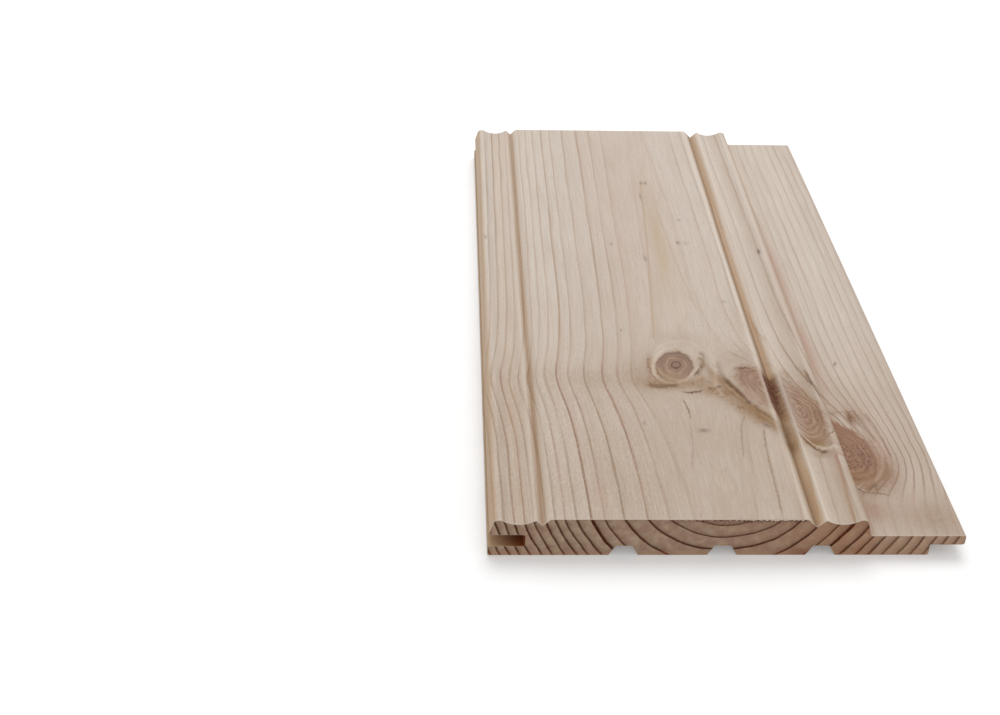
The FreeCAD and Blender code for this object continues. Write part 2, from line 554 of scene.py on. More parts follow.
@dataclass(frozen=True)
class Wood:
    """The whole pattern in the board: its rings and its two branches."""

    rings: GrowthRings = GrowthRings()
    round_branch: Branch = Branch(
        cuts=((66.0, 66.1, 81.7, 6.5, 9.9, -17.0),), drift=(0.26, 0.98), heart=(0.06, 0.16))
    spike_branch: Branch = Branch(
        cuts=((80.0, 95.6, 69.5, 7.8, 13.0, 24.0), (96.2, 95.6, 69.5, 7.8, 13.0, 24.0),
              (96.9, 99.0, 66.5, 8.0, 13.5, 15.0), (101.0, 99.0, 66.5, 8.0, 13.5, 15.0),
              (101.6, 104.5, 58.3, 7.2, 15.8, 12.0), (114.0, 104.5, 58.3, 7.2, 15.8, 12.0),
              (115.5, 116.2, 42.6, 10.4, 18.0, 15.0), (125.0, 116.2, 42.6, 10.4, 18.0, 15.0)),
        heart=(0.15, 0.0), push=13.0, reach=9.0, wander=2.4,
        foot=((80, 62), (95, 50), (100, 43), (106, 34), (112, 34), (116, 20), (133, 14), (145, 10)),
        foot_fade=((80, 14), (101, 16), (112, 18), (116, 26), (145, 34)))

    def cut(self, place: WoodPlace) -> tuple[RingCut, BranchCut, BranchCut]:
        """Works out what a cut through the wood shows, on small sheets of its own.

        Args:
            place: The place in the wood.

        Returns:
            The ring, the round branch and the spike.
        """
        found = []
        for name, branch in (("round_branch", self.round_branch), ("spike_branch", self.spike_branch)):
            def measure(own: Branch = branch, **given: Term) -> dict:
                """Measures the place against one branch."""
                return vars(own.measure(WoodPlace(**given)))
            found.append(BranchCut(**place.sheet.inset(name, measure, **vars(place))))
        middle = place.sheet.math("ABSOLUTE", place.across - 72.0)
        push = found[0].push * place.sheet.rise(middle, 0.0, 5.0) + found[1].push
        return self.ring(place, push), *found

    def ring(self, place: WoodPlace, push: Term) -> RingCut:
        """Finds the growth ring of a place, on a small sheet of its own.

        Args:
            place: The place in the wood.
            push: How far the branches push the rings out here.

        Returns:
            The cut through the rings.
        """
        def grow(push: Term, **given: Term) -> dict:
            """Finds the ring of the place."""
            return vars(self.rings.cut(WoodPlace(**given), push))
        return RingCut(**place.sheet.inset("growth_rings", grow, push=push, **vars(place)))


class Coat:
    """A colour that is built up in layers over the wood."""

    def __init__(self, place: WoodPlace, colour: Socket) -> None:
        """Starts from a first colour."""
        self.place = place
        self.colour = colour

    def lay(self, share: "Term | float", colour: "Socket | Colour") -> None:
        """Lays a colour on top, as much of it as the share says, from 0 to 1."""
        self.colour = self.place.sheet.mix(share, self.colour, colour)


class Way(Enum):
    """Which way a stroke runs over the board."""

    ALONG = "along"
    ACROSS = "across"


@dataclass(frozen=True)
class Stroke:
    """A thin line in the wood, such as bark, a resin vein or a crack.

    Attributes:
        way: Whether its path gives places across for places along, or the other way round.
        width: Half its width, in millimetres.
        strength: How much of it shows.
        raggedness: How much its width and place wander, about 0 to 2.
        path: The path's points, in rising order of the way it runs.
        taper: The longest stretch in millimetres over which its ends fade.
    """

    way: Way
    width: float
    strength: float
    raggedness: float
    path: Points
    taper: float = 2.5

    def mask(self, place: WoodPlace, ragged: Term) -> Term:
        """Draws the stroke.

        Args:
            place: The place in the wood.
            ragged: A soft noise round 0 that makes the line wander.

        Returns:
            How much of the stroke shows, 0 to 1.
        """
        sheet = place.sheet
        run, side = (place.along, place.across) if self.way is Way.ALONG else (place.across, place.along)
        away = side - sheet.curve(run, self.path) + ragged * (self.raggedness * 2.0)
        first, last = self.path[0][0], self.path[-1][0]
        fade = min(self.taper, (last - first) * 0.3)
        shown = sheet.rise(run, first, first + fade) * sheet.rise(run, last, last - fade)
        width = sheet.math("MULTIPLY_ADD", ragged, self.raggedness * 1.5 * self.width, self.width)
        share = away / width
        return sheet.fade(share * share) * shown * self.strength


@dataclass(frozen=True)
class Spot:
    """A soft oval mark.

    Attributes:
        across: Its centre across the board.
        along: Its centre along the board.
        half_width: Half its width, in millimetres.
        half_length: Half its length, in millimetres.
        strength: How much of it shows.
        lean: How far its long axis leans to the left, in degrees.
    """

    across: float
    along: float
    half_width: float
    half_length: float
    strength: float = 1.0
    lean: float = 0.0

    def mask(self, place: WoodPlace, ragged: Term) -> Term:
        """Draws the spot, as e to the minus square of the share of the way to its edge.

        Args:
            place: The place in the wood.
            ragged: A soft noise round 0 that makes the edge uneven.

        Returns:
            How much of the spot shows, 0 to 1.
        """
        sheet = place.sheet
        share = sheet.add("ShaderNodeMapping", {"vector_type": "TEXTURE"}, {
            "Vector": sheet.vector(place.across, place.along, 0.0),
            "Location": (self.across, self.along, 0.0), "Rotation": (0.0, 0.0, math.radians(self.lean)),
            "Scale": (self.half_width, self.half_length, 1.0)}).outputs[0]
        square = sheet.add("ShaderNodeVectorMath", {"operation": "DOT_PRODUCT"}, {0: share, 1: share})
        return sheet.fade(ragged * 0.8 + Term(sheet, square.outputs["Value"])) * self.strength


def strokes(way: Way, *rows: tuple) -> tuple[Stroke, ...]:
    """Makes strokes that run one way, each from its width, strength, raggedness and path's points."""
    return tuple(Stroke(way, *row[:3], row[3:]) for row in rows)


def spots(*rows: tuple[float, ...]) -> tuple[Spot, ...]:
    """Makes spots, each from a row of its values."""
    return tuple(Spot(*row) for row in rows)


@dataclass(frozen=True)
class Marks:
    """A set of strokes and spots in one colour."""

    colour: Colour
    marks: tuple[Stroke | Spot, ...]

    def over(self, coat: Coat, ragged: Term) -> None:
        """Lays the marks on a coat, added up on a small sheet of their own.

        Args:
            coat: The coat.
            ragged: A soft noise round 0 that makes their edges uneven.
        """
        def draw(ragged: Term, **given: Term) -> dict:
            """Adds up all the marks, a few at a time.

            Args:
                ragged: The soft noise, as the small sheet has it.
                given: The place across, along and up, likewise.

            Returns:
                How much of the marks shows, by name.
            """
            start = where = WoodPlace(**given)
            total = 0.0
            for number, mark in enumerate(self.marks):
                if number % 3 == 2:
                    where = start.after(total)
                total = mark.mask(where, ragged) + total
            return {"shown": total}
        place = coat.place.after(coat.colour)
        coat.lay(place.sheet.inset("marks", draw, ragged=ragged, **vars(place))["shown"], self.colour)


@dataclass(frozen=True)
class BranchColours:
    """Colours of a branch that a face cuts through.

    Attributes:
        body: Most of its wood.
        shade: Its lower part.
        ring: The dark of its ring lines.
        light: The pale between its ring lines.
        bark: Its rim.
        rings: How many ring lines it has.
        rim_width: How wide the rim is, in millimetres.
        rim_strength: How much of the rim shows.
    """

    body: Colour
    shade: Colour
    ring: Colour
    light: Colour
    bark: Colour
    rings: float
    rim_width: float = 0.8
    rim_strength: float = 0.5

    def over(self, coat: Coat, cut: BranchCut, mottle: Term, shown: "Term | float" = 1.0) -> None:
        """Lays the branch's wood over the stem's.

        Args:
            coat: The coat that it is laid on.
            cut: The branch's cut.
            mottle: A fine noise round 0 that roughens its edge.
            shown: Where the branch may show.
        """
        sheet = coat.place.sheet
        inside = sheet.rise(cut.edge + mottle * 2.2, 0.5, -0.6) * shown
        coat.lay(inside, self.body)
        shade = sheet.rise(cut.v + cut.u * 0.3 + mottle * 1.2, -0.25, -0.85)
        coat.lay(inside * shade * 0.9, self.shade)
        turn = (cut.ring_share + cut.streaks * 0.10 + mottle * 0.05) * (self.rings * 2.0 * math.pi)
        lines = sheet.math("SINE", turn) * 0.18 + cut.streaks * 1.5
        coat.lay(inside * lines, self.ring)
        coat.lay(inside * lines * -0.9, self.light)
        away = (cut.edge + mottle * 1.6) * (1.0 / self.rim_width)
        rim = sheet.fade(away * away) * sheet.rise(cut.edge, -0.6, 0.2)
        coat.lay(rim * shown * self.rim_strength, self.bark)


@dataclass(frozen=True)
class PlanedFace:
    """Planed long faces: pale wood with thin tan lines, finely streaked along the grain.

    Attributes:
        pale, warm, late, late_grey, late_pink, dark_late, light: The wood, from early to late in each ring;
        light also paints the highlights on the moulding's arrises.
        tan, burnt, honey: Painted shade on the moulding's walls, deeper painted shade in the bottoms of its
            V-grooves, and painted warm bounce light on its left-facing walls.
        knot_dark, groove_red, pore, dash: The knot's pith, the spike in the V-groove, pores, resin dashes.
        mouth, throat: The groove's warm wood at its opening, darkening to painted shade at its floor.
        along_tone: Painted falloff of the light, which makes the wood darker and warmer towards the front
            end, by place along.
        across_tone: Painted light, above 0, and painted shade, below 0, on the moulding, by place across.
        honey_tone: How much painted warm bounce light shows on the left-facing walls, by place across.
        bow: How far the V-grooves' painted shading bows, by place along.
        roughness, shine, relief: The planed skin, with its relief in metres.
    """

    pale: Colour = srgb(206, 194, 182)
    warm: Colour = srgb(183, 163, 144)
    late: Colour = srgb(168, 141, 118)
    late_grey: Colour = srgb(150, 133, 113)
    late_pink: Colour = srgb(176, 138, 122)
    dark_late: Colour = srgb(118, 92, 70)
    # Pale wood fibres, and also the painted highlights on the moulding's arrises.
    light: Colour = srgb(234, 220, 205)
    # Painted shade on the moulding's walls, coves and grooves.
    tan: Colour = srgb(150, 115, 78)
    # Painted deep shade for the bottoms of the V-grooves.
    burnt: Colour = srgb(94, 66, 44)
    # Painted warm bounce light for the left-facing walls.
    honey: Colour = srgb(217, 180, 138)
    knot_dark: Colour = srgb(88, 62, 48)
    groove_red: Colour = srgb(98, 56, 36)
    pore: Colour = srgb(88, 54, 40)
    dash: Colour = srgb(120, 98, 80)
    # The groove's warm wood, darkening from its opening to painted shade at its floor.
    mouth: Colour = srgb(196, 164, 130)
    throat: Colour = srgb(128, 66, 26)
    roughness: float = 0.6
    shine: float = 0.25
    relief: float = 0.00008
    # Painted falloff of the light: the wood darker and warmer towards the front end.
    along_tone: Points = (
        (0, 0.66), (12, 0.74), (30, 0.66), (52, 0.6), (66, 0.66), (78, 0.62), (88, 0.4), (104, 0.24),
        (130, 0.14), (180, 0.06), (225, 0), (275, 0.03))
    # Painted light and shade: above 0 painted highlights on the arrises, below 0 painted shade on the walls,
    # coves and V-grooves.
    across_tone: Points = (
        (-1, -0.24), (1.5, -0.24), (2.4, -0.06), (3, 0.07), (4.2, 0.08), (5.2, -0.05), (11, -0.04),
        (13, 0.06), (14, 0.38), (14.7, 0.18), (15.2, 0), (15.7, -0.24), (16.2, -0.62), (16.5, -0.64),
        (16.9, -0.06), (17.3, 0.16), (18.2, 0.5), (19, 0.06), (24, 0.06), (34, -0.02), (48, -0.08),
        (58, -0.06), (75, -0.05), (86, -0.02), (94.4, 0.02), (95.4, 0.3), (96.4, 0.36), (97, 0.06),
        (97.4, -0.28), (97.9, -0.66), (98.4, -0.8), (98.9, -0.6), (99.4, -0.36), (100, -0.22),
        (100.6, -0.14), (101.1, 0.34), (101.6, 0.66), (102.4, 0.34), (104, 0.14), (107, -0.1),
        (110, -0.18), (111.4, -0.02), (112.2, 0.14), (113.2, 0.04), (114.3, -0.38), (115.1, -0.36),
        (115.9, -0.12), (116.6, -0.4), (117.6, -0.06), (121, 0), (124, 0), (128, 0.05), (134, 0.06),
        (139, -0.05), (145, -0.06))
    # Painted warm bounce light on the nose and on the walls that face left.
    honey_tone: Points = (
        (-1, 0.52), (1.7, 0.44), (2.6, 0.1), (3.4, 0), (7, 0), (9, 0.08), (12, 0.04), (14.4, 0.06),
        (15.2, 0.08), (16.2, 0.22), (17.4, 0.14), (18.2, 0), (96, 0), (97.4, 0.08), (98.4, 0.26),
        (99.4, 0.46), (100.6, 0.4), (101.2, 0.05), (101.8, 0), (145, 0))
    bow: Points = (
        (0, 0), (40, 0), (85, 0.6), (115, 1.1), (175, 1.1), (215, 0.4), (275, 0.1))
    pale_marks: Marks = Marks(srgb(216, 198, 178), strokes(
        Way.ALONG,
        (0.8, 0.42, 0.9, (73, 58.8), (77, 58.4), (84, 59.2), (90, 61.8), (94, 65)),
        (0.9, 0.25, 0.5, (62, 81), (70, 78.8), (84, 80.4), (92, 80)),
        (0.6, 0.18, 0.5, (25, 123), (33, 127.6), (40, 128.8), (48, 128), (57, 124.6))) + strokes(
        Way.ACROSS,
        (0.8, 0.26, 1, (61, 93.5), (66, 97), (71, 98.2), (75, 96.5), (78, 91.5)),
        (0.7, 0.34, 1.1, (65, 72.2), (69, 74), (73, 78.6), (75, 83.5)),
        (0.5, 0.28, 1.4, (81.4, 72.6), (82.6, 70), (84.6, 65.6), (86.3, 61.8)),
        (0.5, 0.2, 1.2, (90.5, 54.6), (92.6, 52), (95.4, 48)),
        (0.6, 0.46, 0.8, (101.2, 49), (103, 44.4), (106, 39.6), (109, 37.2), (112, 37), (113.6, 35)),
        (0.45, 0.7, 0.5, (116.4, 24.6), (118.2, 22.2), (119.8, 21))) + spots(
        (115, 236, 2.6, 36, 0.4), (91, 64.5, 2, 5, 0.2, 26)))
    halo_marks: Marks = Marks(srgb(142, 108, 72), strokes(
        Way.ACROSS,
        (4.4, 0.55, 0.5, (76, 82), (80, 75.5), (84, 68), (88, 60), (92, 53), (97, 46))) + spots(
        (55, 78, 6.5, 11, 0.26), (62.5, 71.4, 8.5, 3.4, 0.62), (74, 72, 9, 5, 0.5),
        (79, 66.5, 5.5, 2.8, 0.45), (82.5, 63, 4.2, 6.5, 0.5, 30), (86.4, 56, 2.6, 5, 0.55, 34),
        (91, 51, 4.2, 3.8, 0.55, 40), (94.6, 46.2, 2, 3.6, 0.45), (91, 58, 3.5, 6, 0.2, 30),
        (57.9, 83.5, 1.5, 7, 0.42), (76.3, 84, 1.9, 6.5, 0.34, -6), (85, 86, 4.5, 7, 0.22),
        (91.5, 88, 4, 6, 0.3), (71, 99, 9, 6, 0.18), (93, 112, 2.5, 14, 0.2),
        (107, 40.6, 5, 3.6, 0.85), (104, 44, 2.8, 4, 0.8, 35), (98.7, 39, 2.6, 5, 0.5),
        (105.5, 72, 5, 4, 0.34), (111.3, 76, 1.1, 8, 0.36, 8), (102.2, 56, 1.6, 13, 0.52),
        (112.8, 10, 1.8, 22, 0.2), (99.4, 103, 1.6, 20, 0.12), (102.6, 78, 2, 3, 0.4),
        (104.8, 79.5, 1.2, 3.2, 0.4, 14), (40, 74, 16, 5, 0.16), (74, 45, 18, 14, 0.1),
        (108, 34.2, 4.2, 1.8, 0.42)))
    floor_halo: Marks = Marks(srgb(142, 106, 78), spots(
        (120, 23.4, 5.4, 4, 0.75), (127.2, 40, 2.6, 12, 0.75, 3), (126.2, 29, 3.8, 6.5, 0.6, -28),
        (123.4, 60.5, 1.5, 4.2, 0.95), (126.5, 60.5, 2.8, 4.5, 0.4), (118.2, 63, 1.5, 2, 0.4),
        (118.5, 13, 3.2, 6, 0.36), (131.5, 33, 3.6, 13, 0.3, -10), (130, 9, 9, 8, 0.22),
        (138, 8, 7, 9, 0.3), (124.6, 38, 2.4, 7, 0.25)))
    red_marks: Marks = Marks(srgb(106, 63, 43), spots(
        (102.2, 62, 1.7, 14, 0.24), (91.8, 74.5, 3.2, 6, 0.18, 10), (108.5, 54, 2.6, 9, 0.08),
        (69.4, 86, 2.2, 4.5, 0.1), (124, 38, 2.6, 7, 0.1)))
    groove_marks: Marks = Marks(srgb(110, 76, 48), spots(
        (98.3, 46, 2, 9, 0.55), (98.6, 38.5, 1.8, 2.4, 0.35), (97.6, 82, 1.2, 8, 0.25)))
    # Pink patches in the wood; the three long spots between 114 and 120 across are a painted soft shadow of
    # the bead along its bevel and on the rabbet floor.
    pink_marks: Marks = Marks(srgb(184, 150, 132), spots(
        (118, 100, 1.8, 26, 0.6), (117.8, 160, 1.4, 30, 0.45), (120, 12, 5, 5, 0.5),
        (129.5, 45, 3.4, 20, 0.45), (124, 66, 4, 4, 0.3), (64, 205, 20, 90, 0.2),
        (34.5, 12, 2, 22, 0.3), (10, 60, 5, 14, 0.16), (114.6, 140, 2.4, 42, 0.55)))
    tan_lines: Marks = Marks(srgb(176, 146, 116), strokes(
        Way.ALONG,
        (0.4, 0.55, 0.2, (98, 61), (130, 63.6), (160, 66), (186, 67.8), (222, 70)),
        (0.35, 0.3, 0.2, (118, 79.5), (150, 76.5), (185, 74.6), (210, 73.4))))
    bark_marks: Marks = Marks(srgb(114, 79, 47), strokes(
        Way.ACROSS,
        (1.1, 0.75, 0.9, (54.5, 70.2), (57, 69.8), (60, 69.4), (63, 69.8), (67, 70.6)),
        (0.45, 0.85, 0.5, (66, 66.6), (69, 66), (72, 66.6), (75, 67.8)),
        (0.45, 0.7, 1.4, (75, 67.8), (78.5, 68.8), (81, 70.2)),
        (2, 0.85, 1, (81.6, 76), (84.2, 70.8), (86.4, 66), (89, 60)),
        (0.5, 0.5, 1, (82, 68.5), (84.5, 63.8), (87.5, 58.6)),
        (0.7, 0.4, 1, (88, 60.2), (92, 55.5), (96, 49)),
        (0.7, 0.55, 1.7, (87, 80.2), (90, 80.8), (93.5, 79.8)),
        (0.7, 0.8, 0.8, (101.2, 45), (103.5, 41), (106, 37.6), (108, 35.6), (110.5, 35.6)),
        (0.4, 0.6, 0.7, (101, 73.5), (103.5, 67.8), (106, 62.6), (107.6, 58.5)),
        (0.35, 0.65, 0.5, (116.4, 23.6), (118.2, 21.4), (120, 20.6), (124, 20.2), (127.5, 18.8)),
        (0.4, 0.65, 0.5, (119.6, 20.6), (121, 22.4), (122.8, 24.6)),
        (0.35, 0.35, 0.5, (118, 64.2), (121, 63.8), (127, 64.6))) + strokes(
        Way.ALONG,
        (0.4, 0.55, 0.8, (72, 59.6), (76, 58), (82, 57.2), (88, 57.6)),
        (0.75, 0.55, 1.7, (75, 72.6), (78, 74), (82, 76), (88, 76.8), (92, 76.8)),
        (0.9, 0.35, 1, (70, 83.4), (76, 81.8), (86, 81.4)),
        (0.28, 0.7, 0.5, (50, 67.4), (56, 67.6), (63, 66.4)),
        (0.25, 0.25, 0.5, (24, 64.2), (36, 66.2), (50, 67)),
        (0.3, 0.38, 0.5, (29, 81.4), (38, 82.2), (47, 83.4), (54, 86)),
        (0.3, 0.45, 0.5, (2, 88.4), (12, 88.6), (24, 89), (36, 89.5), (46, 90.6)),
        (0.42, 0.6, 0.5, (63, 114), (68, 112.8), (74, 111.9), (82, 111.2)),
        (0.35, 0.5, 0.5, (46, 129), (52, 127.9), (60, 126.2), (66, 125.2)),
        (0.35, 0.5, 0.5, (38, 131.8), (47, 131.6), (56, 130.6), (64, 129))))
    bark_dark: Marks = Marks(srgb(88, 58, 34), strokes(
        Way.ACROSS,
        (0.9, 0.75, 1.5, (81.2, 75.4), (83.6, 70.6), (86, 66.4), (88.8, 59.6)),
        (0.55, 0.75, 1.5, (71.6, 76), (74, 79), (75.8, 82), (76.9, 86.6)),
        (0.4, 0.55, 0.8, (68.6, 66.2), (71, 65.9), (74, 66.8)),
        (0.5, 0.55, 1.6, (85.8, 79.6), (88, 80.7), (91.5, 80.9), (94.4, 79.4)),
        (0.35, 0.35, 1.2, (86, 91.6), (90, 87.8), (94.6, 83.2)),
        (0.5, 0.35, 1.5, (88.6, 59.6), (91, 55.6), (94, 51.4)),
        (0.4, 0.6, 0.9, (101.2, 45.6), (103.5, 41.4), (106, 37.8), (108, 35.6), (110.5, 35)),
        (0.45, 0.45, 1.5, (101, 78.6), (103.2, 76), (105.4, 75), (107, 76.6)),
        (0.45, 0.55, 1, (116.2, 25.4), (117.4, 22.8), (119, 21.4)),
        (0.35, 0.4, 1.2, (54.5, 71), (58, 70.9), (62, 70.4), (67, 71.2))) + strokes(
        Way.ALONG,
        (0.35, 0.35, 0.6, (66, 114), (73, 112.2), (80, 111.2)),
        (0.55, 0.45, 1, (57, 123.4), (60, 123.2), (64.5, 123.6))))
    flecks: Marks = Marks(srgb(104, 82, 66), spots(
        (88.3, 60.4, 0.8, 1, 1), (79.8, 69.6, 0.8, 0.6, 0.8, 30), (90.6, 58.4, 0.8, 0.5, 0.6),
        (108.6, 35.4, 1, 0.6, 0.7), (92, 47.5, 0.9, 1.6, 0.55, 30), (70.2, 222.2, 0.7, 1.5, 0.6),
        (72, 222, 0.6, 1.4, 0.55), (68.5, 209.5, 0.45, 3.2, 0.45), (82, 189, 0.6, 0.8, 0.6),
        (79, 169.8, 0.7, 1.2, 0.6), (82, 169.6, 1.6, 1.4, 0.2), (52.5, 168.5, 0.5, 0.9, 0.6),
        (64.6, 157, 0.7, 2.2, 0.4), (90.2, 125, 0.9, 1.2, 0.3), (50, 105, 0.4, 0.9, 0.5),
        (70.8, 44.6, 1.8, 1, 0.55), (110.6, 165, 0.55, 2, 0.8), (3, 174, 0.5, 1.6, 0.5),
        (125.6, 93.2, 0.45, 1.4, 0.7, -20), (52, 48.5, 0.6, 1, 0.35), (123, 24.2, 0.8, 0.8, 0.7),
        (90.5, 94, 0.5, 4, 0.2, 20)))
    resin: Marks = Marks(srgb(192, 171, 142), spots(
        (71.5, 172, 3.2, 42, 0.68), (66, 128, 2.2, 26, 0.3, -9)))
    round_colours: BranchColours = BranchColours(
        body=srgb(152, 124, 103), shade=srgb(162, 135, 108), ring=srgb(108, 78, 60),
        light=srgb(186, 161, 141), bark=srgb(198, 173, 147), rings=3.4, rim_width=1.2, rim_strength=0.32)
    spike_colours: BranchColours = BranchColours(
        body=srgb(156, 124, 102), shade=srgb(160, 130, 104), ring=srgb(104, 70, 54),
        light=srgb(200, 172, 152), bark=srgb(142, 108, 78), rings=5.0, rim_width=1.4)
    floor_colours: BranchColours = BranchColours(
        body=srgb(147, 110, 87), shade=srgb(149, 113, 82), ring=srgb(102, 64, 47),
        light=srgb(190, 153, 130), bark=srgb(172, 140, 116), rings=6.0, rim_strength=0.3)

    def make(self, wood: Wood, low: Vector) -> bpy.types.Material:
        """Builds the material.

        Args:
            wood: The pattern it cuts through.
            low: The board's lowest corner, in metres.

        Returns:
            The material.
        """
        material = bpy.data.materials.new("planed_pine")
        sheet = Sheet.of(material)
        place = WoodPlace.on(sheet, low)
        rings, knot, spike = wood.cut(place)
        flow = rings.flow - knot.aside - spike.aside
        fibre = sheet.noise(sheet.vector(flow * 1.1, place.along * 0.045, rings.radius * 1.3), 4.0, 0.64)
        hairs = sheet.noise(sheet.vector(rings.radius * 2.6, place.along * 0.022, flow * 0.3), 3.0, 0.7)
        grain = place.noise((2.6, 0.7, 2.6))
        patch = place.noise((0.09, 0.03, 0.09))
        ragged = place.noise((0.9, 0.6, 0.9), 3.0, 0.6)

        # Painted falloff of the light towards the front end, with random tone patches added.
        age_tone = sheet.curve(place.along, self.along_tone) + patch * 0.5
        coat = Coat(place, sheet.mix(age_tone, self.pale, self.warm))
        near = sheet.fade(sheet.largest(spike.edge, 0.0) * (1.0 / 12.0))
        nearer = place.along + sheet.rise(place.across, 114.0, 116.0) * 19.0
        near = near * sheet.rise(place.across, 96.0, 112.0) * sheet.rise(nearer, 34.0, 46.0)
        line = sheet.rise(rings.left, 0.95, 0.35) * sheet.rise(rings.left, 0.0, 0.14)
        late = sheet.mix(rings.hue * 4.0, self.late, self.late_grey)
        late = sheet.mix(rings.hue * -4.0, late, self.late_pink)
        coat.lay(rings.part * rings.part * (rings.tone * 0.4 + 0.05), late)
        shore = sheet.rise(place.along, 86.0, 78.0) * sheet.rise(place.across, 58.0, 48.0)
        calm = Spot(74, 60, 16, 17).mask(place, ragged * 0.3)
        side = (1.0 - sheet.rise(place.across, 110.0, 116.0) * 0.55) * (1.0 - calm)
        coat.lay(line * (rings.tone * (shore * 0.5 + side) + near * 0.3), late)
        coat.lay(line * (near * 0.95 + shore * rings.tone * 0.55), self.dark_late)
        coat.lay(fibre, self.late)
        coat.lay(fibre * -0.9, self.light)
        coat.lay(sheet.rise(hairs, 0.06, 0.20) * (shore * 0.22 + 0.16), self.late_grey)
        coat.lay(grain * (shore * 0.4 + 0.5), self.late)
        coat.lay(grain * (shore * -0.5 - 0.4), self.light)
        # The pink marks include a painted soft shadow beside the bead.
        for marks in (self.resin, self.pink_marks, self.tan_lines):
            marks.over(coat, ragged)
        cloudy = ragged * 1.8 + fibre * 2.4
        for marks in (self.halo_marks, self.floor_halo):
            marks.over(coat, cloudy)
        on_floor = sheet.rise(place.across, 114.5, 115.5)
        self.round_colours.over(coat, knot, ragged)
        self.heart(coat, knot, ragged)
        self.spike_colours.over(coat, spike, ragged, 1.0 - on_floor)
        self.floor_colours.over(coat, spike, ragged, on_floor)
        self.edges(coat)
        self.groove_wood(coat, spike)
        self.red_marks.over(coat, ragged * 1.6 + fibre * 1.5)
        self.groove_marks.over(coat, ragged * 2.0)
        self.pale_marks.over(coat, ragged)
        rough = ragged * 1.1 + grain * 0.9
        for marks in (self.bark_marks, self.bark_dark):
            marks.over(coat, rough)
        self.flecks.over(coat, ragged)
        self.pores(coat, spike)
        sheet.finish(coat.colour, self.roughness, self.shine, grain, self.relief)
        return material

    def heart(self, coat: Coat, cut: BranchCut, ragged: Term) -> None:
        """Adds the round knot's dark pith and the darker band round its upper half.

        Args:
            coat: The coat that it is laid on.
            cut: The knot's cut.
            ragged: A soft noise round 0 that makes them uneven.
        """
        sheet = coat.place.sheet
        share = cut.ring_share + ragged * 0.10
        band = sheet.bell(share, 0.86, 0.17) * sheet.rise(cut.v, -0.45, 0.25)
        coat.lay(band * 0.40, self.knot_dark)
        ring = sheet.bell(share, 0.215, 0.052)
        coat.lay(sheet.rise(share, 0.25, 0.19) * 0.15, self.knot_dark)
        coat.lay(ring * 0.95, self.knot_dark)

    def groove_wood(self, coat: Coat, cut: BranchCut) -> None:
        """Reddens the spike's wood between the walls of the far V-groove.

        Args:
            coat: The coat that it is laid on.
            cut: The spike's cut.
        """
        place, sheet = coat.place, coat.place.sheet
        walls = sheet.rise(place.across, 95.3, 96.2) * sheet.rise(place.across, 101.7, 98.6)
        shown = sheet.rise(cut.edge, 0.6, -1.4) * sheet.rise(place.along + cut.streaks * 6.0, 80.0, 76.0)
        shown = shown * walls * (cut.streaks * 1.6 + 1.0)
        shown = shown * (sheet.rise(place.along, 52.0, 68.0) * 0.45 + 0.5)
        coat.lay(shown * 0.95, self.groove_red)

    def pores(self, coat: Coat, cut: BranchCut) -> None:
        """Adds short dark pores in the spike's wood and sparse resin dashes all over.

        Args:
            coat: The coat that they are laid on.
            cut: The spike's cut.
        """
        place, sheet = coat.place, coat.place.sheet
        dots = sheet.specks(sheet.vector(place.across * 1.3, place.along * 0.9, place.up * 0.5), 0.42)
        inside = sheet.rise(cut.share, 0.95, 0.7) * sheet.rise(place.across, 101.0, 104.0)
        low_part = sheet.rise(cut.v, 0.3, -0.1) * sheet.rise(cut.v, -0.75, -0.45)
        floor = sheet.rise(place.across, 113.0, 115.0) * 0.5 + 0.25
        coat.lay(dots * inside * (low_part * floor + 0.12), self.pore)
        dashes = sheet.specks(sheet.vector(place.across * 0.45, place.along * 0.10, place.up * 0.3), 0.09)
        coat.lay(dashes * 0.35, self.dash)

    def edges(self, coat: Coat) -> None:
        """Adds painted light and shade on the moulding: highlights on its arrises and at the front end,
        shade on its walls and deeper shade in its V-grooves, warm bounce light on its left-facing walls, and
        the groove's wood darkening to shade toward its floor.

        Args:
            coat: The coat that they are laid on.
        """
        place, sheet = coat.place, coat.place.sheet
        above = sheet.rise(place.up, 7.75, 8.0)
        on_floor = sheet.rise(place.across, 115.9, 116.1) * sheet.rise(place.up, 6.5, 7.4)
        on_top = sheet.largest(above, on_floor)
        # Within the V-grooves the painted shading bows along the board, though the grooves themselves are
        # straight.
        bent = sheet.rise(place.across, 93.5, 96.0) * sheet.rise(place.across, 104.0, 101.5)
        bent = sheet.rise(place.across, 13.0, 15.0) * sheet.rise(place.across, 19.5, 17.5) * 0.4 + bent
        across = place.across + bent * sheet.curve(place.along, self.bow)
        # tone is the painted light and shade across the moulding.
        tone = sheet.curve(across, self.across_tone) * on_top
        # Painted warm bounce light on the left-facing walls.
        coat.lay(sheet.curve(across, self.honey_tone) * on_top, self.honey)
        # Painted shade: tan where the moulding's walls and grooves turn away from the light.
        coat.lay(tone * -0.85, self.tan)
        # Painted deep shade in the bottoms of the V-grooves, weaker towards the back end.
        far = sheet.rise(place.along, 60.0, 220.0) * 0.5
        coat.lay((tone + 0.42) * (far - 1.15), self.burnt)
        # Painted highlights on the moulding's arrises.
        coat.lay(tone, self.light)
        # The groove's warm wood, darkening to painted shade toward the groove's floor.
        inside = sheet.rise(place.across, 12.0, 11.5) * (1.0 - above) * sheet.rise(place.up, 3.45, 3.65)
        coat.lay(inside, sheet.mix(sheet.rise(place.across, 0.0, 11.0), self.mouth, self.throat))
        # Painted highlight along the face's arris at the front end.
        fringe = sheet.rise(place.along, 0.45, 0.10) * on_top
        coat.lay(fringe * 0.3, self.light)


